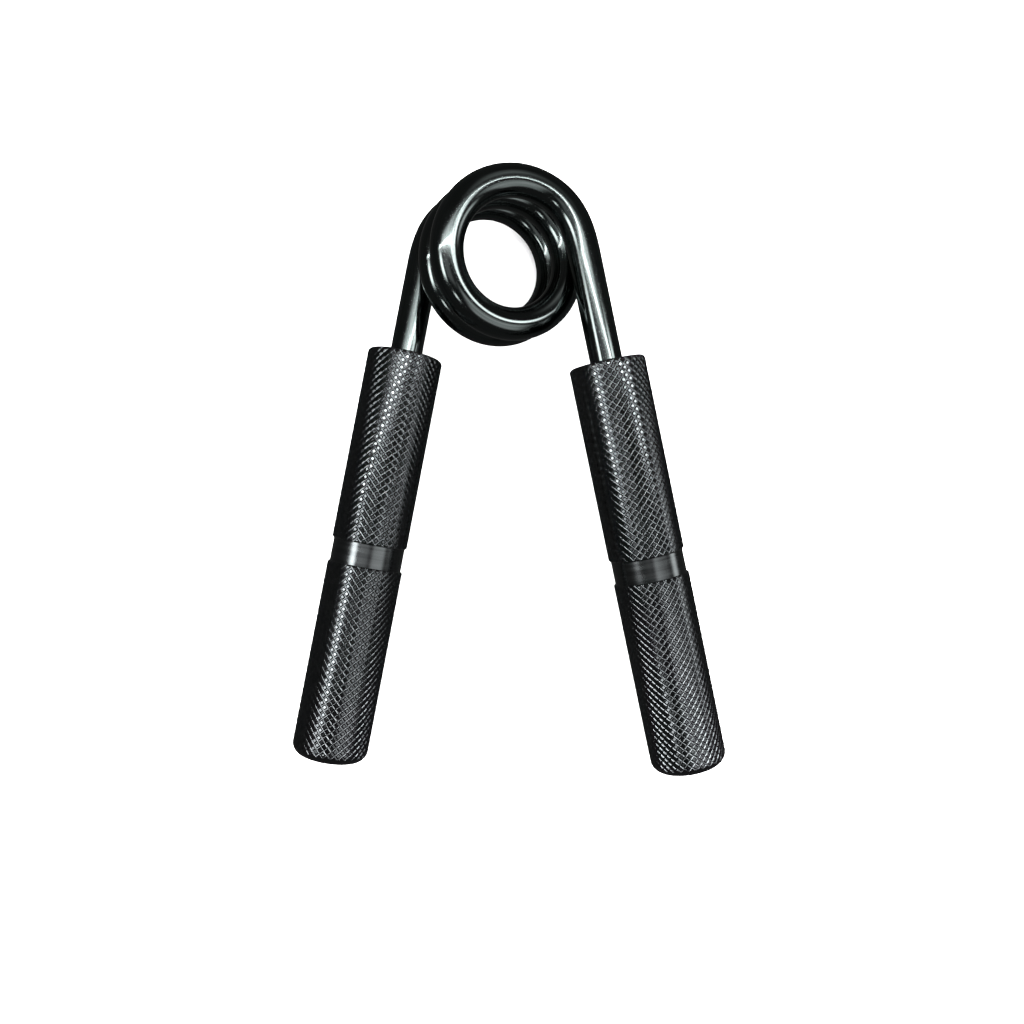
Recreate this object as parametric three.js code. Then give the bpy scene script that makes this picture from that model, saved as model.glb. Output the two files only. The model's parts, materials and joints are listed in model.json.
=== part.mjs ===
// A hand gripper: one steel torsion spring whose two straight legs are set into knurled aluminium handles.
// Millimetres, +Z up. It rests on a table with its coil towards +Y and its handles towards -Y.
import * as THREE from "three";

// ---- Driving dimensions ---------------------------------------------------------------------------------

// The spring, in the coil's own frame: coil axis along Z, coil centre at the origin, legs towards -Y.
const WIRE_DIAMETER = 8.1;
const COIL_MEAN_RADIUS = 16.75;
const COIL_PITCH = 9.75; // axial advance of one full turn
const LEG_ANGLE = THREE.MathUtils.degToRad(11.45); // between each leg and the centre line
const LEG_LEAN = 0.035; // axial advance of a leg for each millimetre of its length
const LEAN_EASE = 8; // the last length of coil, where its slope eases into the leg's

// How far each leg runs bare from the coil to its handle, and how far it is set into the handle.
const BARE_LEG = { left: 26.7, right: 30.2 };
const LEG_IN_HANDLE = 65;

// The spring is one wire. The solids cut it into rigid lengths, so that they can follow it as it winds up.
const COIL_SEGMENTS = 5;
const LEG_ARC = THREE.MathUtils.degToRad(30); // the stretch of coil that stays with each leg
const SEGMENT_GAP = 0.3;

// The handles. Lengths along a handle are counted from its top face, where the leg goes in.
const HANDLE_DIAMETER = 19;
const HANDLE_LENGTH = 103.5;
const TOP_EDGE_RADIUS = 1.2;
const END_EDGE_RADIUS = 3.2;
const BAND_DIAMETER = 18; // the smooth band turned into the middle of each handle
const BAND_START = 48.8;
const BAND_END = 54.4;
const BORE_CLEARANCE = 0.3; // all round the leg, and beyond its end

// How the coil's frame is turned when the gripper rests on its two handle ends and the coil's lowest turn.
const REST_DIP = THREE.MathUtils.degToRad(3.41);
const REST_TILT = THREE.MathUtils.degToRad(20.95);

// Fineness of the faceted solids.
const WIRE_SIDES = 16;
const LEG_STEPS = 36;
const SEGMENT_STEPS = 16;
const HANDLE_SIDES = 40;
const EDGE_STEPS = 4;

// ---- Worked out from them -------------------------------------------------------------------------------

// Lengths of wire are counted from the coil's middle, positive towards the right leg.
const COIL_SWEEP = 5 * Math.PI - 2 * LEG_ANGLE;
const HALF_COIL = (COIL_MEAN_RADIUS * COIL_SWEEP) / 2;
const COIL_SLOPE = COIL_PITCH / (2 * Math.PI * COIL_MEAN_RADIUS);
const CUT_COIL = HALF_COIL - COIL_MEAN_RADIUS * LEG_ARC; // where the legs' stretches end and the segments begin

// ---- Materials ------------------------------------------------------------------------------------------

const springSteel = new THREE.MeshStandardMaterial({ color: 0x2b3130, roughness: 0.16, metalness: 1 });
const blackAluminium = new THREE.MeshStandardMaterial({ color: 0x1d1f21, roughness: 0.42, metalness: 0.8 });

// ---- The spring's centre line ---------------------------------------------------------------------------

// How far along the coil axis the wire's centre has advanced at a length s of wire.
function wireAdvance(s) {
  const eased = Math.abs(s) - (HALF_COIL - LEAN_EASE);
  if (eased <= 0) return COIL_SLOPE * s;
  const u = Math.min(eased / LEAN_EASE, 1);
  const coilShare = LEAN_EASE * (u - u ** 3 + u ** 4 / 2);
  const advance = COIL_SLOPE * (HALF_COIL - LEAN_EASE + coilShare) + LEG_LEAN * (eased - coilShare);
  return Math.sign(s) * advance;
}

// The centre line between two lengths of wire. The middle of the wire lies at the top of the coil.
class WireCurve extends THREE.Curve {
  constructor(start, end) {
    super();
    this.start = start;
    this.end = end;
  }

  getPoint(t, target = new THREE.Vector3()) {
    const s = THREE.MathUtils.lerp(this.start, this.end, t);
    const coiled = THREE.MathUtils.clamp(s, -HALF_COIL, HALF_COIL);
    const straight = Math.abs(s - coiled);
    const angle = Math.PI / 2 - coiled / COIL_MEAN_RADIUS;
    return target.set(
      COIL_MEAN_RADIUS * Math.cos(angle) + Math.sign(s) * straight * Math.sin(LEG_ANGLE),
      COIL_MEAN_RADIUS * Math.sin(angle) - straight * Math.cos(LEG_ANGLE),
      wireAdvance(s),
    );
  }
}

// ---- The pieces -----------------------------------------------------------------------------------------

function piece(name, geometry, material) {
  const mesh = new THREE.Mesh(geometry, material);
  mesh.name = name;
  return mesh;
}

function wirePiece(name, start, end, steps) {
  const section = new THREE.Shape().absarc(0, 0, WIRE_DIAMETER / 2, 0, 2 * Math.PI);
  const extrudePath = new WireCurve(start, end);
  const curveSegments = WIRE_SIDES / 2; // a full circle takes two points for each of these
  const geometry = new THREE.ExtrudeGeometry(section, { curveSegments, steps, extrudePath });
  return piece(name, geometry, springSteel);
}

// A straight leg with the first stretch of coil that runs into it.
function springLeg(side, sign) {
  const tip = HALF_COIL + BARE_LEG[side] + LEG_IN_HANDLE;
  return wirePiece("spring_leg_" + side, sign * (CUT_COIL + SEGMENT_GAP), sign * tip, LEG_STEPS);
}

// The coil between the two legs' stretches, numbered from the left leg.
function coilSegments() {
  const length = (2 * CUT_COIL + SEGMENT_GAP) / COIL_SEGMENTS;
  const segments = [];
  for (let i = 0; i < COIL_SEGMENTS; i++) {
    const start = -CUT_COIL + i * length;
    segments.push(wirePiece("coil_segment_" + (i + 1), start, start + length - SEGMENT_GAP, SEGMENT_STEPS));
  }
  return segments;
}

// A quarter-round edge of a turned profile, from one angle to another about a centre.
function edge(centreRadius, centreHeight, radius, fromAngle) {
  const points = [];
  for (let i = 0; i <= EDGE_STEPS; i++) {
    const angle = fromAngle + ((Math.PI / 2) * i) / EDGE_STEPS;
    points.push(
      new THREE.Vector2(centreRadius + radius * Math.cos(angle), centreHeight + radius * Math.sin(angle)),
    );
  }
  return points;
}

// The turned handle about its own Y axis, with its top face at the origin and its end towards -Y.
function handleGeometry() {
  const outer = HANDLE_DIAMETER / 2;
  const band = BAND_DIAMETER / 2;
  const chamfer = outer - band;
  const bore = WIRE_DIAMETER / 2 + BORE_CLEARANCE;
  const boreFloor = -(LEG_IN_HANDLE + BORE_CLEARANCE);
  const at = (radius, height) => new THREE.Vector2(radius, height);
  const profile = [
    at(0, -HANDLE_LENGTH),
    ...edge(outer - END_EDGE_RADIUS, END_EDGE_RADIUS - HANDLE_LENGTH, END_EDGE_RADIUS, -Math.PI / 2),
    at(outer, -BAND_END - chamfer),
    at(band, -BAND_END),
    at(band, -BAND_START),
    at(outer, -BAND_START + chamfer),
    ...edge(outer - TOP_EDGE_RADIUS, -TOP_EDGE_RADIUS, TOP_EDGE_RADIUS, 0),
    at(bore, 0),
    at(bore, boreFloor),
    at(0, boreFloor),
  ];
  return new THREE.LatheGeometry(profile, HANDLE_SIDES);
}

function handle(side, sign) {
  const mesh = piece("handle_" + side, handleGeometry(), blackAluminium);
  const top = HALF_COIL + BARE_LEG[side];
  const leg = new WireCurve(sign * top, sign * (top + HANDLE_LENGTH));
  const alongLeg = leg.getPoint(1).sub(leg.getPoint(0)).normalize();
  mesh.position.copy(leg.getPoint(0));
  mesh.quaternion.setFromUnitVectors(new THREE.Vector3(0, -1, 0), alongLeg);
  return mesh;
}

// ---- The gripper ----------------------------------------------------------------------------------------

const gripper = new THREE.Group();
gripper.add(springLeg("left", -1), springLeg("right", 1), ...coilSegments());
gripper.add(handle("left", -1), handle("right", 1));
gripper.rotation.set(REST_DIP, REST_TILT, 0, "ZXY");

// The origin is the bottom centre of the resting gripper's box.
const part = new THREE.Group();
part.add(gripper);
const box = new THREE.Box3().setFromObject(part, true);
const centre = box.getCenter(new THREE.Vector3());
gripper.position.set(-centre.x, -centre.y, -box.min.z);

export default part;
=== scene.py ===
"""A torsion spring hand gripper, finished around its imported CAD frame.

The spring is one bright black wire, wound two and a half turns and drawn out into two straight legs. Each
leg is set into a black aluminium handle: a turned bar with a diamond knurl, rounded ends and a smooth waist
band.

Lengths are metres. Sizes are given in millimetres and multiplied by MM where they are named. Angles are
radians unless their description says degrees. Tones are linear RGB.
"""

from __future__ import annotations

import json
import logging
import math
from collections.abc import Callable, Iterator
from contextlib import contextmanager
from dataclasses import dataclass, field
from enum import Enum

import bmesh
import bpy
from mathutils import Euler, Matrix, Vector

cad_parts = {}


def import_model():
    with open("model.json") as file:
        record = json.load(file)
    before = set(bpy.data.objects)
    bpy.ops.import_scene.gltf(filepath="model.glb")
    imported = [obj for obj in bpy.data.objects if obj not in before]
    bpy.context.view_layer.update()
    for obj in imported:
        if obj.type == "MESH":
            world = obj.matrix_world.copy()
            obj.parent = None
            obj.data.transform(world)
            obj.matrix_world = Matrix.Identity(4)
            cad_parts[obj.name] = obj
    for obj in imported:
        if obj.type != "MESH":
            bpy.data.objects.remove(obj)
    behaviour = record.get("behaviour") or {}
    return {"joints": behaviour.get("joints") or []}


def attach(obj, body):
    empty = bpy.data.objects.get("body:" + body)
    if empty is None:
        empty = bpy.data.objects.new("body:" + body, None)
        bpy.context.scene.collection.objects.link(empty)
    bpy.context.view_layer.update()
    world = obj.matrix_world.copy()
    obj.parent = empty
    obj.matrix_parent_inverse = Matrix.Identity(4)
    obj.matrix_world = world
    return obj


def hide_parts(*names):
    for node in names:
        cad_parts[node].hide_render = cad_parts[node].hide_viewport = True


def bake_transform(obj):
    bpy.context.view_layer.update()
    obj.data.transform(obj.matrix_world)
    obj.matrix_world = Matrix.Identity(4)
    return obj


MM = 0.001
LOG = logging.getLogger("hand_gripper")
WIRE_MAP = "along_wire"

# A face whose normal rises less than this is on the side of an upright bar, not on its ends.
SIDE_NORMAL = 0.5

# With no window open, transform.rotate turns the opposite way.
TURN = -1.0 if bpy.app.background else 1.0

Tone = tuple[float, float, float]
Span = tuple[float, float]
Outline = list[tuple[float, float]]


class Side(Enum):
    """Which leg of the spring a piece belongs to, as the sign of its wire lengths."""

    LEFT = -1
    RIGHT = 1

    @property
    def word(self) -> str:
        """The side's name in CAD node and body names."""
        return self.name.lower()


class Slot(Enum):
    """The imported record's material slots."""

    SPRING = "spring_steel"
    HANDLE = "knurled_aluminium"


# ---- Working with bpy.ops --------------------------------------------------------------------------------


def deselect_all() -> None:
    """Leave object mode with nothing selected and nothing active."""
    if bpy.context.object and bpy.context.object.mode != "OBJECT":
        bpy.ops.object.mode_set(mode="OBJECT")
    bpy.ops.object.select_all(action="DESELECT")
    bpy.context.view_layer.objects.active = None


def pick(piece: bpy.types.Object) -> None:
    """Select one piece alone and make it active.

    Args:
        piece: The object to work on.
    """
    deselect_all()
    piece.select_set(True)
    bpy.context.view_layer.objects.active = piece


@contextmanager
def editing(piece: bpy.types.Object) -> Iterator[bmesh.types.BMesh]:
    """Hold a piece in edit mode, with nothing in it selected.

    Args:
        piece: The object to edit.

    Yields:
        The edit mesh, for choosing faces and edges in code.
    """
    pick(piece)
    bpy.ops.object.mode_set(mode="EDIT")
    bpy.ops.mesh.select_mode(type="FACE")
    bpy.ops.mesh.select_all(action="DESELECT")
    yield bmesh.from_edit_mesh(piece.data)
    bpy.ops.object.mode_set(mode="OBJECT")


def choose_faces(mesh: bmesh.types.BMesh, wanted: Callable[[bmesh.types.BMFace], bool]) -> None:
    """Select the faces that pass a test, and nothing else.

    Args:
        mesh: The edit mesh.
        wanted: Says whether a face is chosen.
    """
    for face in mesh.faces:
        face.select_set(False)
    for face in mesh.faces:
        if wanted(face):
            face.select_set(True)


def on_side(face: bmesh.types.BMFace) -> bool:
    """Whether a face of an upright bar is on its side."""
    return abs(face.normal.z) < SIDE_NORMAL


def extrude(offset: Vector) -> None:
    """Extrude the selected face or faces by an offset.

    Args:
        offset: How far the new faces move.
    """
    bpy.ops.mesh.extrude_region_move(TRANSFORM_OT_translate={"value": tuple(offset)})


def add_disc(sides: int, radius: float, place: Matrix) -> bpy.types.Object:
    """Add a filled circle, the start of every extruded or turned piece.

    Args:
        sides: Number of sides of the circle.
        radius: Its radius.
        place: Where its centre lies and how it is turned; it faces along the matrix's Z axis.

    Returns:
        The new object.
    """
    deselect_all()
    bpy.ops.mesh.primitive_circle_add(
        vertices=sides,
        radius=radius,
        fill_type="NGON",
        calc_uvs=False,
        location=place.to_translation(),
        rotation=place.to_euler(),
    )
    disc = bpy.context.object
    bpy.ops.object.transform_apply(location=True, rotation=True, scale=True)
    return disc


def apply_modifier(piece: bpy.types.Object, modifier: bpy.types.Modifier) -> None:
    """Apply one modifier of a piece.

    Args:
        piece: The object that carries it.
        modifier: The modifier.
    """
    pick(piece)
    bpy.ops.object.modifier_apply(modifier=modifier.name)


def shade(piece: bpy.types.Object, sharpest: float) -> None:
    """Shade a mesh smoothly where its faces meet gently.

    Args:
        piece: The object to shade.
        sharpest: Edges sharper than this angle in radians stay sharp.
    """
    pick(piece)
    bpy.ops.object.shade_smooth_by_angle(angle=sharpest)


def settle(piece: bpy.types.Object, name: str, place: Matrix) -> None:
    """Name a finished mesh and put its place into its mesh.

    Args:
        piece: The finished object.
        name: The piece's name.
        place: The matrix from the modelling frame to the part's frame.
    """
    piece.name = name
    piece.data.name = name
    piece.matrix_world = place
    pick(piece)
    bpy.ops.object.transform_apply(location=True, rotation=True, scale=True)
    deselect_all()


# ---- Finishes --------------------------------------------------------------------------------------------


class Nodes:
    """A node tree under construction."""

    def __init__(self, tree: bpy.types.NodeTree) -> None:
        """Take up a tree.

        Args:
            tree: The node tree to add to.
        """
        self.tree = tree

    def add(self, kind: str, **values: object) -> bpy.types.Node:
        """Add a node.

        Args:
            kind: The node's type name.
            **values: Node settings by name, with input sockets given as in_SocketName.

        Returns:
            The new node.
        """
        node = self.tree.nodes.new(kind)
        for name, value in values.items():
            if name.startswith("in_"):
                node.inputs[name[3:].replace("_", " ")].default_value = value
            else:
                setattr(node, name, value)
        return node

    def link(self, source: bpy.types.NodeSocket, target: bpy.types.NodeSocket) -> None:
        """Join an output socket to an input socket."""
        self.tree.links.new(source, target)

    def maths(self, operation: str, *operands: bpy.types.NodeSocket | float) -> bpy.types.NodeSocket:
        """Work out one value from others.

        Args:
            operation: The Math node's operation.
            *operands: Output sockets or plain numbers.

        Returns:
            The result.
        """
        node = self.add("ShaderNodeMath", operation=operation)
        for operand, socket in zip(operands, node.inputs):
            if isinstance(operand, float):
                socket.default_value = operand
            else:
                self.link(operand, socket)
        return node.outputs[0]

    def ramp(
        self, source: bpy.types.NodeSocket, span: Span, to: Span = (0.0, 1.0), smooth: bool = False
    ) -> bpy.types.NodeSocket:
        """Map a range of one value to a range of another, held at its ends.

        Args:
            source: The value to map.
            span: The values of the source between which the result runs.
            to: The result at those two values.
            smooth: Whether the result sets off and arrives gently.

        Returns:
            The mapped value.
        """
        node = self.add("ShaderNodeMapRange", interpolation_type="SMOOTHSTEP" if smooth else "LINEAR")
        self.link(source, node.inputs["Value"])
        for name, value in zip(("From Min", "From Max", "To Min", "To Max"), (*span, *to)):
            node.inputs[name].default_value = value
        return node.outputs["Result"]


class Shader(Nodes):
    """A material under construction: its nodes and its Principled shader."""

    def __init__(self, name: str) -> None:
        """Start a material with only a Principled shader.

        Args:
            name: The material's name.
        """
        self.material = bpy.data.materials.new(name)
        self.material.use_nodes = True
        super().__init__(self.material.node_tree)
        self.surface = self.tree.nodes["Principled BSDF"]

    def set(self, **values: object) -> None:
        """Set constant values on the Principled shader, its sockets named with _ for a space."""
        for name, value in values.items():
            self.surface.inputs[name.replace("_", " ")].default_value = value

    def tint(self, factor: bpy.types.NodeSocket, first: Tone, second: Tone) -> None:
        """Run the base colour between two tones.

        Args:
            factor: 0 for the first tone, 1 for the second.
            first: A tone.
            second: Another tone.
        """
        mix = self.add("ShaderNodeMix", data_type="RGBA")
        self.link(factor, mix.inputs["Factor"])
        mix.inputs["A"].default_value = (*first, 1.0)
        mix.inputs["B"].default_value = (*second, 1.0)
        self.link(mix.outputs["Result"], self.surface.inputs["Base Color"])

    def bump(self, height: bpy.types.NodeSocket, depth: float, strength: float) -> None:
        """Drive the shading normal from a height.

        Args:
            height: The height, 0 to 1.
            depth: What a height of 1 stands for, in metres.
            strength: Share of the bump that shows.
        """
        node = self.add("ShaderNodeBump", in_Strength=strength, in_Distance=depth)
        self.link(height, node.inputs["Height"])
        self.link(node.outputs["Normal"], self.surface.inputs["Normal"])


@dataclass(frozen=True)
class BlackNickel:
    """Bright black nickel plating on the drawn spring wire, with fine streaks along it and pits.

    Attributes:
        name: The material's name.
        deep_tone: The darker tone of the streaks.
        pale_tone: Their lighter tone.
        streak_scale: Streaks in a wire girth, along the wire and round it.
        streak_detail: Octaves of the streaks' noise.
        polish: Roughness where the wire is brightest and where it is dullest.
        polish_scale: Bright and dull patches in a metre.
        polish_detail: Octaves of the patches' noise.
        noise_span: Noise values at which an effect starts and is full.
        pit_scale: Pits in a metre.
        pit_size: Radius of a pit's floor and of its rim, as shares of the pits' spacing.
        pit_depth: How deep a pit is.
        pit_strength: Share of the pits' bump that shows.
    """

    name: str = "black_nickel_plating"
    deep_tone: Tone = (0.070, 0.084, 0.082)
    pale_tone: Tone = (0.115, 0.130, 0.128)
    streak_scale: tuple[float, float, float] = (1.5, 60.0, 1.0)
    streak_detail: float = 3.0
    polish: Span = (0.08, 0.13)
    polish_scale: float = 260.0
    polish_detail: float = 4.0
    noise_span: Span = (0.3, 0.7)
    pit_scale: float = 2600.0
    pit_size: Span = (0.10, 0.22)
    pit_depth: float = 0.012 * MM
    pit_strength: float = 0.5

    def make(self) -> bpy.types.Material:
        """Build the material.

        Returns:
            The finished material.
        """
        shader = Shader(self.name)
        shader.set(Metallic=1.0)
        place = shader.add("ShaderNodeTexCoord").outputs["Object"]
        along_wire = shader.add("ShaderNodeUVMap", uv_map=WIRE_MAP).outputs["UV"]
        drawn = shader.add("ShaderNodeMapping", in_Scale=self.streak_scale)
        shader.link(along_wire, drawn.inputs["Vector"])
        streaks = shader.add("ShaderNodeTexNoise", in_Scale=1.0, in_Detail=self.streak_detail)
        shader.link(drawn.outputs["Vector"], streaks.inputs["Vector"])
        shader.tint(shader.ramp(streaks.outputs["Fac"], self.noise_span), self.deep_tone, self.pale_tone)
        patches = shader.add("ShaderNodeTexNoise", in_Scale=self.polish_scale, in_Detail=self.polish_detail)
        shader.link(place, patches.inputs["Vector"])
        roughness = shader.ramp(patches.outputs["Fac"], self.noise_span, self.polish)
        shader.link(roughness, shader.surface.inputs["Roughness"])
        pits = shader.add("ShaderNodeTexVoronoi", in_Scale=self.pit_scale)
        shader.link(place, pits.inputs["Vector"])
        shader.bump(shader.ramp(pits.outputs["Distance"], self.pit_size), self.pit_depth, self.pit_strength)
        return shader.material


@dataclass(frozen=True)
class BlackAnodised:
    """Black anodised aluminium, bright where it is knurled and finely ringed where it is turned.

    Attributes:
        name: The material's name.
        deep_tone: The darker tone of the grain.
        pale_tone: Its lighter tone.
        sheen: Roughness where the grain is brightest and where it is dullest.
        grain_scale: Grains in a metre along each axis of the handle's own frame, whose Z runs along it.
        grain_depth: How deep the grain is.
        grain_detail: Octaves of the grain's noise.
        grain_strength: Share of the grain's bump that shows.
        tone_span: Noise values at which the tone starts to change and has changed.
        sheen_span: Noise values at which the roughness starts to change and has changed.
    """

    name: str
    deep_tone: Tone
    pale_tone: Tone
    sheen: Span
    grain_scale: tuple[float, float, float]
    grain_depth: float
    grain_detail: float = 5.0
    grain_strength: float = 0.4
    tone_span: Span = (0.35, 0.65)
    sheen_span: Span = (0.3, 0.7)

    def make(self, place: Matrix) -> bpy.types.Material:
        """Build the material.

        Args:
            place: The matrix from the handle's own frame to the part's.

        Returns:
            The finished material.
        """
        shader = Shader(self.name)
        shader.set(Metallic=1.0)
        on_handle = shader.add(
            "ShaderNodeMapping",
            vector_type="TEXTURE",
            in_Location=place.to_translation(),
            in_Rotation=place.to_euler(),
            in_Scale=[1 / scale for scale in self.grain_scale],
        )
        shader.link(shader.add("ShaderNodeTexCoord").outputs["Object"], on_handle.inputs["Vector"])
        grain = shader.add("ShaderNodeTexNoise", in_Scale=1.0, in_Detail=self.grain_detail)
        shader.link(on_handle.outputs["Vector"], grain.inputs["Vector"])
        shader.tint(shader.ramp(grain.outputs["Fac"], self.tone_span), self.deep_tone, self.pale_tone)
        roughness = shader.ramp(grain.outputs["Fac"], self.sheen_span, self.sheen)
        shader.link(roughness, shader.surface.inputs["Roughness"])
        shader.bump(grain.outputs["Fac"], self.grain_depth, self.grain_strength)
        return shader.material


# ---- The spring ------------------------------------------------------------------------------------------


@dataclass
class WirePath:
    """The centre line of the spring wire, in the coil's own frame.

    The coil's axis is Z and its centre the origin, and the legs run towards -Y. A length of wire is counted
    from the coil's middle, positive towards the right leg. A turn is the angle round the axis from +X at
    which the wire stands, growing from the right leg to the left one.

    Attributes:
        wire_diameter: Diameter of the wire.
        mean_radius: Radius of the coil at the wire's centre.
        pitch: Advance along the axis in one full turn.
        half_turns: Half turns of coil, before each end is shortened by its leg's angle.
        leg_angle: Angle between each leg and the gripper's centre line.
        leg_lean: Advance of a leg along the axis for each metre of its length.
        lean_ease: The last length of coil, where its slope eases into the leg's.
        bend_ease: Half the length over which the bend is evened out, at the coil's very ends.
        ease_reach: How far from the coil's ends the evening out starts.
        ease_samples: Points of the plain path that are averaged there.
        bare_leg: How far each leg runs from the coil to its handle.
        leg_in_handle: How far each leg is set into its handle.
        rest_dip: How far the resting gripper's handles tip down from the coil.
        rest_tilt: How far the resting coil leans to the side.
        middle_turn: The turn at the coil's middle, which lies at the top.
    """

    wire_diameter: float = 8.1 * MM
    mean_radius: float = 16.75 * MM
    pitch: float = 9.75 * MM
    half_turns: int = 5
    leg_angle: float = math.radians(11.45)
    leg_lean: float = 0.035
    lean_ease: float = 8 * MM
    bend_ease: float = 5 * MM
    ease_reach: float = 12 * MM
    ease_samples: int = 24
    bare_leg: dict[Side, float] = field(
        default_factory=lambda: {Side.LEFT: 26.7 * MM, Side.RIGHT: 30.2 * MM}
    )
    leg_in_handle: float = 65 * MM
    rest_dip: float = math.radians(3.41)
    rest_tilt: float = math.radians(20.95)
    middle_turn: float = math.radians(450)

    @property
    def half_coil(self) -> float:
        """Length of wire from the coil's middle to where a leg starts."""
        return self.mean_radius * (self.half_turns * math.pi - 2 * self.leg_angle) / 2

    @property
    def slope(self) -> float:
        """Advance along the axis for each metre of coiled wire."""
        return self.pitch / (2 * math.pi * self.mean_radius)

    def advance(self, length: float) -> float:
        """How far along the axis the wire's centre lies.

        Args:
            length: A length of wire from the coil's middle.

        Returns:
            The height along the coil's axis.
        """
        eased = abs(length) - (self.half_coil - self.lean_ease)
        if eased <= 0:
            return self.slope * length
        # The coil's slope fades out as a smooth step, and its share of the length is that step's integral.
        u = min(eased / self.lean_ease, 1)
        coil_share = self.lean_ease * (u - u**3 + u**4 / 2)
        steep = self.slope * (self.half_coil - self.lean_ease + coil_share)
        return math.copysign(steep + self.leg_lean * (eased - coil_share), length)

    def easing(self, length: float) -> float:
        """Half the length of wire over which the bend is evened out, where the coil runs into a leg.

        Args:
            length: A length of wire from the coil's middle.

        Returns:
            A length that is nothing away from the two ends of the coil.
        """
        off_end = (abs(length) - self.half_coil) / self.ease_reach
        return self.bend_ease * max(0.0, 1 - off_end**2)

    def nearby(self, length: float) -> list[float]:
        """Lengths of wire spread evenly over the easing on both sides of one."""
        reach = self.easing(length)
        if not reach:
            return [length]
        count = self.ease_samples
        return [length + reach * ((2 * i + 1) / count - 1) for i in range(count)]

    def turn(self, length: float) -> float:
        """The angle round the axis that a length of wire faces, which eases to the leg's and stays there."""
        coiled = [max(-self.half_coil, min(self.half_coil, near)) for near in self.nearby(length)]
        return self.middle_turn - sum(coiled) / len(coiled) / self.mean_radius

    def length_at(self, turn: float) -> float:
        """The length of wire that stands at a turn of the coil."""
        return (self.middle_turn - turn) * self.mean_radius

    def point(self, length: float) -> Vector:
        """The wire's centre.

        Args:
            length: A length of wire from the coil's middle.

        Returns:
            The centre in the coil's frame.
        """
        lengths = self.nearby(length)
        return sum((self.plain_point(near) for near in lengths), Vector()) / len(lengths)

    def plain_point(self, length: float) -> Vector:
        """The wire's centre, with a coil that runs straight into its legs.

        Args:
            length: A length of wire from the coil's middle.

        Returns:
            The centre in the coil's frame.
        """
        coiled = max(-self.half_coil, min(self.half_coil, length))
        straight = abs(length - coiled)
        turn = self.middle_turn - coiled / self.mean_radius
        outward = math.copysign(straight, length) * math.sin(self.leg_angle)
        x = self.mean_radius * math.cos(turn) + outward
        y = self.mean_radius * math.sin(turn) - straight * math.cos(self.leg_angle)
        return Vector((x, y, self.advance(length)))

    def section(self, length: float) -> Matrix:
        """The wire's cross-section.

        Args:
            length: A length of wire from the coil's middle.

        Returns:
            A matrix at the wire's centre, X away from the coil's axis and Z along the wire to the left leg.
        """
        turn = self.turn(length)
        outward = Vector((math.cos(turn), math.sin(turn), 0))
        along = Vector((-math.sin(turn), math.cos(turn), -self.slope)).normalized()
        turned = Matrix((outward, along.cross(outward), along)).transposed()
        return Matrix.Translation(self.point(length)) @ turned.to_4x4()

    def handle_top(self, side: Side) -> float:
        """The length of wire at which a leg enters its handle."""
        return side.value * (self.half_coil + self.bare_leg[side])

    def tip(self, side: Side) -> float:
        """The length of wire at a leg's end, inside its handle."""
        return self.handle_top(side) + side.value * self.leg_in_handle

    def rest(self, centre: Vector) -> Matrix:
        """The coil's frame as the gripper rests on its handle ends and its lowest turn.

        Args:
            centre: The coil's centre in the part's frame.

        Returns:
            The matrix from the coil's frame to the part's.
        """
        turned = Matrix.Rotation(self.rest_dip, 4, "X") @ Matrix.Rotation(self.rest_tilt, 4, "Y")
        return Matrix.Translation(centre) @ turned


@dataclass(frozen=True)
class WireStretch:
    """One modelled length of the spring wire.

    Attributes:
        name: The piece's name.
        start: Length of wire where it starts, on the right leg's side.
        end: Length of wire where it ends.
        bodies: The CAD bodies at its start and at its end; not used.
        stands_for: The CAD nodes that it replaces.
    """

    name: str
    start: float
    end: float
    bodies: tuple[str, str]
    stands_for: tuple[str, ...]


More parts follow.
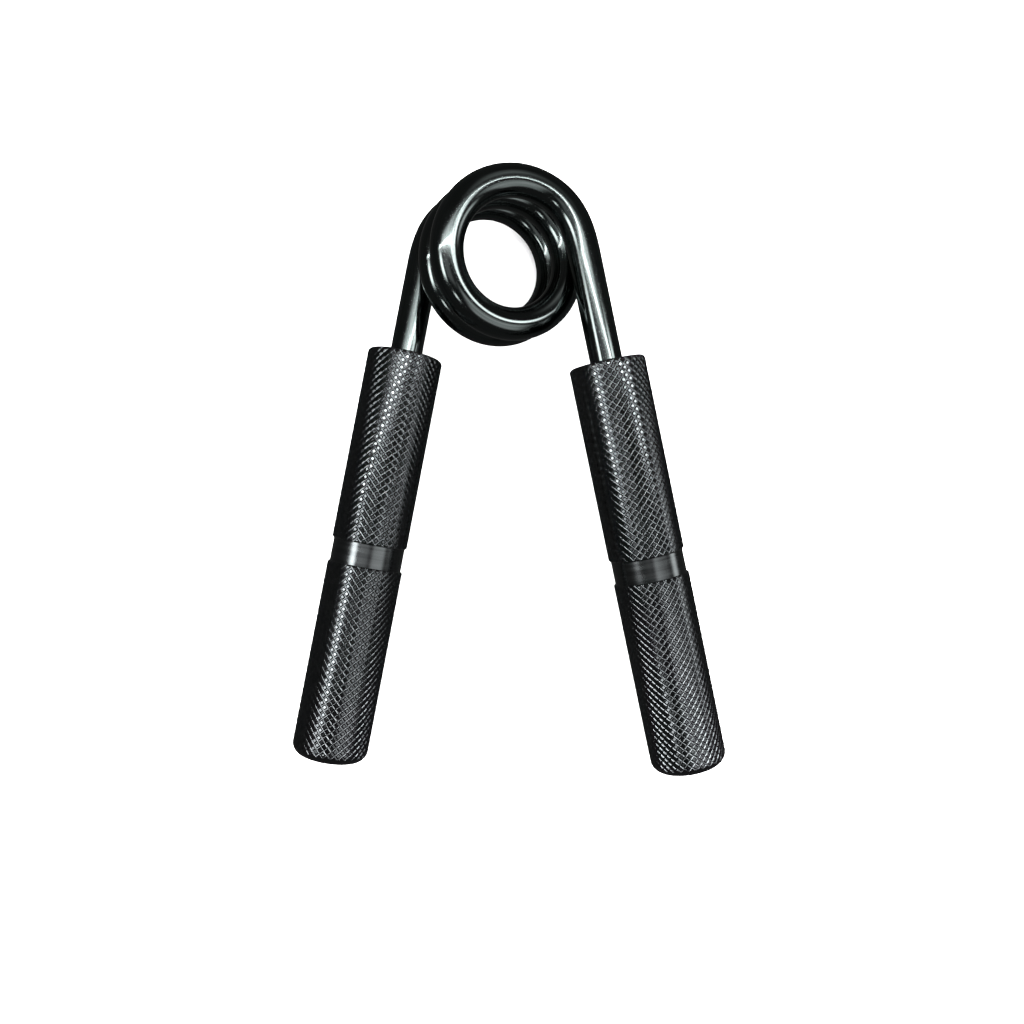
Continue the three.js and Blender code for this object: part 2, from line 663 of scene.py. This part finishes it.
@dataclass
class Spring:
    """The torsion spring, modelled as five stretches of one wire.

    Attributes:
        path: The wire's centre line.
        centre: The coil's centre in the part's frame.
        finish: The wire's finish.
        sides: Sides of the wire's section.
        turn_step: Longest turn from one ring of vertices to the next, in the coil.
        leg_step: Longest way from one ring of vertices to the next, on a leg.
        smooth_angle: Edges sharper than this stay sharp.
    """

    path: WirePath
    centre: Vector
    finish: BlackNickel = field(default_factory=BlackNickel)
    sides: int = 48
    turn_step: float = math.radians(1.5)
    leg_step: float = 8 * MM
    smooth_angle: float = math.radians(40)

    def stretches(self) -> list[WireStretch]:
        """Cut the wire at each half turn of the coil, where it crosses the coil frame's X axis.

        Returns:
            The stretches from the right leg to the left one.
        """
        half_turns = self.path.half_turns
        cuts = [self.path.length_at(math.pi * half_turn) for half_turn in range(1, half_turns)]
        ends = [self.path.tip(Side.RIGHT), *cuts, self.path.tip(Side.LEFT)]
        between = [f"wire_half_turn_{number}" for number in range(half_turns - 2, 0, -1)]
        names = ["wire_right_leg", *between, "wire_left_leg"]
        bodies = [*(f"coil_{number}" for number in range(half_turns, 0, -1)), "left_arm"]
        nodes = [(f"coil_segment_{number}",) for number in range(half_turns, 0, -1)]
        nodes[0] += ("spring_leg_right",)
        nodes[-1] += ("spring_leg_left",)
        return [
            WireStretch(names[i], ends[i], ends[i + 1], (bodies[i], bodies[i + 1]), nodes[i])
            for i in range(len(names))
        ]

    def stations(self, stretch: WireStretch) -> list[float]:
        """The lengths of wire at which a stretch has a ring of vertices.

        Args:
            stretch: The stretch of wire.

        Returns:
            Lengths from the stretch's start to its end.
        """
        leg_start = self.path.half_coil + self.path.ease_reach
        breaks = [length for length in (leg_start, -leg_start) if stretch.end < length < stretch.start]
        ends = [stretch.start, *breaks, stretch.end]
        lengths = [stretch.start]
        for start, end in zip(ends, ends[1:]):
            on_leg = abs(start + end) / 2 > leg_start
            step = self.leg_step if on_leg else self.turn_step * self.path.mean_radius
            count = math.ceil((start - end) / step)
            lengths += [start + (end - start) * i / count for i in range(1, count + 1)]
        return lengths

    def model(self, stretch: WireStretch) -> bpy.types.Object:
        """Draw one stretch of wire from a disc, ring by ring.

        Args:
            stretch: The stretch of wire.

        Returns:
            The finished piece, in the part's frame.
        """
        path = self.path
        lengths = self.stations(stretch)
        wire = add_disc(self.sides, path.wire_diameter / 2, path.section(lengths[0]))
        with editing(wire) as mesh:
            choose_faces(mesh, lambda face: True)
            for here, there in zip(lengths, lengths[1:]):
                place = path.point(there)
                extrude(place - path.point(here))
                swing = path.turn(there) - path.turn(here)
                if swing:
                    bpy.ops.transform.rotate(
                        value=TURN * swing, orient_axis="Z", center_override=tuple(place)
                    )
        self.lay_map(wire, lengths)
        shade(wire, self.smooth_angle)
        settle(wire, stretch.name, path.rest(self.centre))
        return wire

    def lay_map(self, wire: bpy.types.Object, lengths: list[float]) -> None:
        """Give a stretch a UV map whose U runs along the wire and V round it, both in wire girths.

        Args:
            wire: The stretch, its vertices in rings.
            lengths: The length of wire at each ring.
        """
        girth = math.pi * self.path.wire_diameter
        layer = wire.data.uv_layers.new(name=WIRE_MAP)
        for face in wire.data.polygons:
            rings = [divmod(vertex, self.sides) for vertex in face.vertices]
            columns = [column for _, column in rings]
            closes = max(columns) - min(columns) > 1
            for loop, (ring, column) in zip(face.loop_indices, rings):
                round_wire = column + (self.sides if closes and column == 0 else 0)
                layer.data[loop].uv = (lengths[ring] / girth, round_wire / self.sides)

    def build(self) -> list[bpy.types.Object]:
        """Model and dress every stretch, and hide the CAD nodes that it replaces.

        Returns:
            The spring's pieces.
        """
        material = self.finish.make()
        rest = self.path.rest(self.centre)
        pieces = []
        for number, stretch in enumerate(self.stretches()):
            wire = self.model(stretch)
            wire.data.materials.append(material)
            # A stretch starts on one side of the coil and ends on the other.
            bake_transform(wire)
            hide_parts(*stretch.stands_for)
            pieces.append(wire)
        return pieces


# ---- The handles -----------------------------------------------------------------------------------------


@dataclass
class Knurl:
    """Two crossing sets of grooves at 45 degrees that leave flat-topped diamonds.

    Attributes:
        grooves: Grooves each way.
        depth: Height of the diamonds' tops over the middle of the groove floors.
        floor_dip: How much lower a groove floor is in its middle than at its edges.
        floor_width: Width of a groove floor.
        slope_width: Width of a diamond's slope.
    """

    grooves: int = 32
    depth: float = 0.30 * MM
    floor_dip: float = 0.05 * MM
    floor_width: float = 0.24 * MM
    slope_width: float = 0.25 * MM

    def bar(self, diameter: float, length: float, overrun: float) -> bpy.types.Object:
        """Knurl a plain bar from end to end, its top face at the origin and its length along -Z.

        Args:
            diameter: Diameter over the diamonds' tops.
            length: Length of bar to be covered.
            overrun: How far it runs past both ends of that length.

        Returns:
            The knurled bar.
        """
        floor_radius = diameter / 2 - self.depth
        row = math.pi * diameter / self.grooves
        rows = math.ceil((length + 2 * overrun) / row)
        bar = add_disc(self.grooves, floor_radius, Matrix.Translation((0, 0, overrun - rows * row)))
        with editing(bar) as mesh:
            choose_faces(mesh, lambda face: True)
            for _ in range(rows):
                extrude(Vector((0, 0, row)))
        with editing(bar) as mesh:
            choose_faces(mesh, on_side)
            bpy.ops.mesh.poke()
        self.open_diamonds(bar, floor_radius)
        self.raise_diamonds(bar)
        return bar

    def open_diamonds(self, bar: bpy.types.Object, floor_radius: float) -> None:
        """Turn the poked squares into diamonds, with all their corners at the floor radius.

        Args:
            bar: The poked bar.
            floor_radius: The radius of the groove floors.
        """
        half_step = math.pi / self.grooves
        middle_radius = floor_radius * math.cos(half_step)
        split = (floor_radius + middle_radius) / 2
        with editing(bar) as mesh:
            bpy.ops.mesh.select_mode(type="EDGE")
            for edge in mesh.edges:
                whole = all(on_side(face) for face in edge.link_faces)
                corners = all(vert.co.xy.length > split for vert in edge.verts)
                edge.select_set(whole and corners)
            bpy.ops.mesh.dissolve_edges(use_verts=False, use_face_split=False)
        with editing(bar) as mesh:
            bpy.ops.mesh.select_mode(type="VERT")
            for vert in mesh.verts:
                vert.select_set(vert.co.xy.length < split)
            mesh.select_flush_mode()
            outward = 1 / math.cos(half_step)
            bpy.ops.transform.resize(value=(outward, outward, 1), center_override=(0, 0, 0))

    def raise_diamonds(self, bar: bpy.types.Object) -> None:
        """Inset every diamond to its groove floors, then up its slopes to its flat top.

        Args:
            bar: The bar, covered in flat diamonds.
        """
        with editing(bar) as mesh:
            choose_faces(mesh, on_side)
            bpy.ops.mesh.inset(thickness=self.floor_width / 2, depth=self.floor_dip, use_individual=True)
            slope_height = self.depth - self.floor_dip
            bpy.ops.mesh.inset(thickness=self.slope_width, depth=slope_height, use_individual=True)


@dataclass
class Handle:
    """One turned and knurled handle, with its leg set into a blind bore.

    Distances along the handle are counted down from its top face, where the leg goes in.

    Attributes:
        side: The leg that it is on.
        path: The wire's centre line.
        centre: The coil's centre in the part's frame.
        diameter: Diameter over the knurling.
        length: Length of the handle.
        top_edge_radius: Rounding of the edge beside the leg.
        end_edge_radius: Rounding of the far edge.
        band_diameter: Diameter of the smooth band.
        band_start: Where the band starts.
        band_end: Where the band ends.
        chamfer: Length of the slope from the knurling to the band.
        bore_clearance: Room between the leg and its bore.
        turned_sides: Sides of the turned outline.
        edge_steps: Steps round each rounded edge.
        overrun: How far the bar is knurled past each end before it is turned.
        skin: How far the turned outline clears the diamonds' tops.
        smooth_angle: Edges sharper than this stay sharp.
        knurl: The knurling.
    """

    side: Side
    path: WirePath
    centre: Vector
    diameter: float = 19 * MM
    length: float = 103.5 * MM
    top_edge_radius: float = 1.2 * MM
    end_edge_radius: float = 3.2 * MM
    band_diameter: float = 18 * MM
    band_start: float = 48.8 * MM
    band_end: float = 54.4 * MM
    chamfer: float = 0.5 * MM
    bore_clearance: float = 0.08 * MM
    turned_sides: int = 160
    edge_steps: int = 6
    overrun: float = 1 * MM
    skin: float = 0.03 * MM
    smooth_angle: float = math.radians(25)
    knurl: Knurl = field(default_factory=Knurl)

    def place(self) -> Matrix:
        """The matrix from the handle's own frame, its length along -Z, to the part's frame."""
        rest = self.path.rest(self.centre)
        top = rest @ self.path.point(self.path.handle_top(self.side))
        tip = rest @ self.path.point(self.path.tip(self.side))
        return Matrix.Translation(top) @ (top - tip).to_track_quat("Z", "Y").to_matrix().to_4x4()

    def edge(self, radius: float, edge_radius: float, height: float, upper: bool) -> Outline:
        """Points round a turned edge, from below to above.

        Args:
            radius: Radius of the bar beside the edge.
            edge_radius: Radius of the rounding.
            height: Height of the end face.
            upper: Whether the end face is above the edge.

        Returns:
            Radius and height of each point.
        """
        points = []
        for step in range(self.edge_steps + 1):
            angle = math.pi / 2 * step / self.edge_steps
            if upper:
                reach, rise = math.cos(angle), math.sin(angle) - 1
            else:
                reach, rise = math.sin(angle), 1 - math.cos(angle)
            points.append((radius - edge_radius + edge_radius * reach, height + edge_radius * rise))
        return points

    def profile(self) -> Outline:
        """The turned outline from the end face up to the top face.

        Returns:
            Radius and height of each point.
        """
        outer = self.diameter / 2 + self.skin
        band = self.band_diameter / 2
        rise = self.chamfer + self.skin
        return [
            *self.edge(outer, self.end_edge_radius, -self.length, upper=False),
            (outer, -self.band_end - rise),
            (band, -self.band_end),
            (band, -self.band_start),
            (outer, -self.band_start + rise),
            *self.edge(outer, self.top_edge_radius, 0.0, upper=True),
        ]

    def turned_blank(self) -> bpy.types.Object:
        """Turn the bar to its outline and bore it for the leg.

        Returns:
            The turned blank.
        """
        profile = self.profile()
        radius, height = profile[0]
        blank = add_disc(self.turned_sides, radius, Matrix.Translation((0, 0, height)))
        with editing(blank) as mesh:
            choose_faces(mesh, lambda face: True)
            for wider, higher in profile[1:]:
                extrude(Vector((0, 0, higher - height)))
                scale = wider / radius
                bpy.ops.transform.resize(value=(scale, scale, 1), center_override=(0, 0, higher))
                radius, height = wider, higher
            bore = self.path.wire_diameter / 2 + self.bore_clearance
            bpy.ops.mesh.inset(thickness=radius - bore)
            extrude(Vector((0, 0, -self.path.leg_in_handle - self.bore_clearance)))
        return blank

    def model(self) -> bpy.types.Object:
        """Knurl a bar, then keep what lies inside the turned blank.

        Returns:
            The finished handle, in the part's frame.
        """
        bar = self.knurl.bar(self.diameter, self.length, self.overrun)
        bar.data.materials.append(knurled_black().make(self.place()))
        blank = self.turned_blank()
        blank.data.materials.append(turned_black().make(self.place()))
        cut = bar.modifiers.new("turn_to_size", "BOOLEAN")
        cut.operation = "INTERSECT"
        cut.solver = "EXACT"
        cut.object = blank
        cut.material_mode = "TRANSFER"
        apply_modifier(bar, cut)
        bpy.data.objects.remove(blank)
        shade(bar, self.smooth_angle)
        self.round_grooves(bar)
        settle(bar, f"grip_handle_{self.side.word}", self.place())
        return bar

    def round_grooves(self, handle: bpy.types.Object) -> None:
        """Shade the two halves of every groove floor as one rounded floor.

        Args:
            handle: The handle in its own frame, whose first material is the knurling's.
        """
        floor_edge = self.diameter / 2 - self.knurl.depth + self.knurl.floor_dip / 2
        with editing(handle) as mesh:
            bpy.ops.mesh.select_mode(type="EDGE")
            for edge in mesh.edges:
                knurled = all(face.material_index == 0 for face in edge.link_faces)
                low = all(vert.co.xy.length < floor_edge for vert in edge.verts)
                edge.select_set(knurled and low)
            bpy.ops.mesh.mark_sharp(clear=True)

    def build(self) -> bpy.types.Object:
        """Model the handle and attach it to its arm.

        Returns:
            The handle.
        """
        handle = self.model()
        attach(handle, f"{self.side.word}_arm")
        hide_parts(f"handle_{self.side.word}")
        return handle


def knurled_black() -> BlackAnodised:
    """The finish of the knurling, bright enough for each facet to glint."""
    return BlackAnodised(
        name="knurled_black_anodising",
        deep_tone=(0.088, 0.096, 0.100),
        pale_tone=(0.132, 0.141, 0.145),
        sheen=(0.10, 0.14),
        grain_scale=(900.0, 900.0, 900.0),
        grain_depth=0.001 * MM,
    )


def turned_black() -> BlackAnodised:
    """The satin finish of the turned band, rims and end faces, with fine rings round the handle."""
    return BlackAnodised(
        name="turned_black_anodising",
        deep_tone=(0.105, 0.114, 0.116),
        pale_tone=(0.130, 0.141, 0.143),
        sheen=(0.16, 0.22),
        grain_scale=(60.0, 60.0, 2400.0),
        grain_depth=0.004 * MM,
    )


# ---- The studio ------------------------------------------------------------------------------------------


@dataclass(frozen=True)
class SoftLight:
    """A rectangular studio light that faces the gripper and fades towards its edges.

    Attributes:
        name: The light's name.
        lean: How far its centre leans from straight overhead, towards +X and towards +Y, in degrees.
        spread: How wide and how deep it looks from the gripper, in degrees.
        radiance: Its brightness.
        fade: Share of its half width and half depth over which it fades out.
    """

    name: str
    lean: tuple[float, float]
    spread: tuple[float, float]
    radiance: float
    fade: float = 0.6

    def build(self, middle: Vector, distance: float) -> None:
        """Hang the light.

        Args:
            middle: The point that it faces.
            distance: How far it hangs from that point.
        """
        lean = Vector(self.lean) * math.radians(1)
        level = lean.normalized() * math.sin(lean.length)
        away = Vector((level.x, level.y, math.cos(lean.length)))
        across = Vector((0, 1, 0)).cross(away).normalized()
        turned = Matrix((across, away.cross(across), away)).transposed()
        light = bpy.data.lights.new(self.name, "AREA")
        light.shape = "RECTANGLE"
        half_spread = [math.radians(angle) / 2 for angle in self.spread]
        light.size, light.size_y = (2 * distance * math.tan(angle) for angle in half_spread)
        # The power that gives a flat light of this size its radiance.
        light.energy = self.radiance * math.pi * light.size * light.size_y
        self.soften(light)
        lamp = bpy.data.objects.new(self.name, light)
        lamp.matrix_world = Matrix.Translation(middle + away * distance) @ turned.to_4x4()
        lamp.visible_camera = False
        bpy.context.collection.objects.link(lamp)

    def soften(self, light: bpy.types.AreaLight) -> None:
        """Fade the light towards its edges.

        Args:
            light: The light's data.
        """
        light.use_nodes = True
        nodes = Nodes(light.node_tree)
        axes = nodes.add("ShaderNodeSeparateXYZ")
        nodes.link(nodes.add("ShaderNodeNewGeometry").outputs["Parametric"], axes.inputs["Vector"])
        # Each axis runs from 0 to 1 across the light, so its middle is half way.
        half = 0.5
        shares = []
        for axis in ("X", "Y"):
            off_centre = nodes.maths("SUBTRACT", axes.outputs[axis], half)
            reach = nodes.maths("ABSOLUTE", off_centre)
            shares.append(nodes.ramp(reach, (half, half * (1 - self.fade)), smooth=True))
        nodes.link(nodes.maths("MULTIPLY", *shares), nodes.tree.nodes["Emission"].inputs["Strength"])


@dataclass
class Studio:
    """The camera, the pale floor and the soft light, which is centred over the coil.

    Attributes:
        coil: The coil's centre.
        lens: The camera's focal length, in the same unit as its sensor.
        sensor: The width of its sensor.
        camera_place: Where it stands.
        camera_turn: How it is turned about X, Y and Z, in degrees.
        camera_near: Nothing closer than this is drawn.
        floor_size: Length of the floor's sides.
        floor_tone: The floor's tone.
        floor_roughness: The floor's roughness.
        room_tone: The tone of the surroundings.
        pale_strength: Brightness of the surroundings, as seen directly and by matt surfaces.
        mirrored_strength: Brightness of the surroundings in reflections.
        light_distance: How far the lights hang from the coil.
        lights: The lights.
    """

    coil: Vector
    lens: float = 33.294
    sensor: float = 36.0
    camera_place: tuple[float, float, float] = (0.234 * MM, -18.836 * MM, 250.79 * MM)
    camera_turn: tuple[float, float, float] = (2.3418, -0.2576, -0.6902)
    camera_near: float = 10 * MM
    floor_size: float = 12.0
    floor_tone: Tone = (0.86, 0.86, 0.86)
    floor_roughness: float = 0.9
    room_tone: Tone = (0.9, 0.9, 0.9)
    pale_strength: float = 5.0
    mirrored_strength: float = 0.06
    light_distance: float = 0.45
    lights: tuple[SoftLight, ...] = (
        SoftLight("tube", (-4, 2.5), (100, 2.6), 24.0, 0.3),
        SoftLight("strip", (0, 5), (84, 22), 4.5, 0.9),
        SoftLight("left_panel", (-40, -15), (24, 32), 12.0, 0.8),
        SoftLight("centre_panel", (-8, -14), (40, 26), 0.5),
        SoftLight("left_low_panel", (-20, -42), (14, 10), 6.0),
        SoftLight("right_wide_panel", (34, -36), (54, 46), 1.5, 0.5),
        SoftLight("right_panel", (50, 2), (26, 18), 11.0, 0.8),
        SoftLight("far_right_panel", (80, -12), (26, 34), 3.0, 0.8),
        SoftLight("back_panel", (24, 35), (40, 44), 0.5, 0.9),
    )

    def camera(self) -> None:
        """Make the camera that looks down on the gripper."""
        data = bpy.data.cameras.new("camera")
        data.lens = self.lens
        data.sensor_width = self.sensor
        data.clip_start = self.camera_near
        camera = bpy.data.objects.new("camera", data)
        camera.location = self.camera_place
        camera.rotation_euler = Euler([math.radians(angle) for angle in self.camera_turn])
        bpy.context.collection.objects.link(camera)
        bpy.context.scene.camera = camera

    def floor(self) -> None:
        """Lay the floor, which stays out of the reflections."""
        deselect_all()
        bpy.ops.mesh.primitive_plane_add(size=self.floor_size, location=(0, 0, 0))
        floor = bpy.context.object
        floor.name = "floor"
        shader = Shader("pale_floor")
        tone = (*self.floor_tone, 1.0)
        shader.set(Base_Color=tone, Roughness=self.floor_roughness, Specular_IOR_Level=0.0)
        floor.data.materials.append(shader.material)
        floor.visible_glossy = False
        floor.visible_diffuse = False
        deselect_all()

    def world(self) -> None:
        """Give the surroundings a pale tone, which reflections see as a dim room."""
        world = bpy.data.worlds.new("surroundings")
        world.use_nodes = True
        nodes = Nodes(world.node_tree)
        sky = nodes.tree.nodes["Background"]
        sky.inputs["Color"].default_value = (*self.room_tone, 1.0)
        mirrored = nodes.add("ShaderNodeLightPath").outputs["Is Glossy Ray"]
        strengths = (self.pale_strength, self.mirrored_strength)
        nodes.link(nodes.ramp(mirrored, (0.0, 1.0), strengths), sky.inputs["Strength"])
        bpy.context.scene.world = world
        bpy.context.scene.view_settings.view_transform = "Standard"

    def build(self) -> None:
        """Set up the studio."""
        self.camera()
        self.floor()
        self.world()
        for light in self.lights:
            light.build(self.coil, self.light_distance)


# ---- Everything ------------------------------------------------------------------------------------------


def main() -> None:
    """Load the frame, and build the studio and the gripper."""
    logging.basicConfig(level=logging.INFO, format="%(name)s: %(message)s")
    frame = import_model()
    deselect_all()
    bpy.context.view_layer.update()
    squeeze = next(joint for joint in frame["joints"] if joint["name"] == "squeeze")
    centre = Vector(squeeze["pos_m"])
    Studio(centre).build()
    path = WirePath()
    for wire in Spring(path, centre).build():
        LOG.info("%s: %d faces", wire.name, len(wire.data.polygons))
    for side in Side:
        handle = Handle(side, path, centre).build()
        LOG.info("%s: %d faces", handle.name, len(handle.data.polygons))


if __name__ == "__main__":
    main()
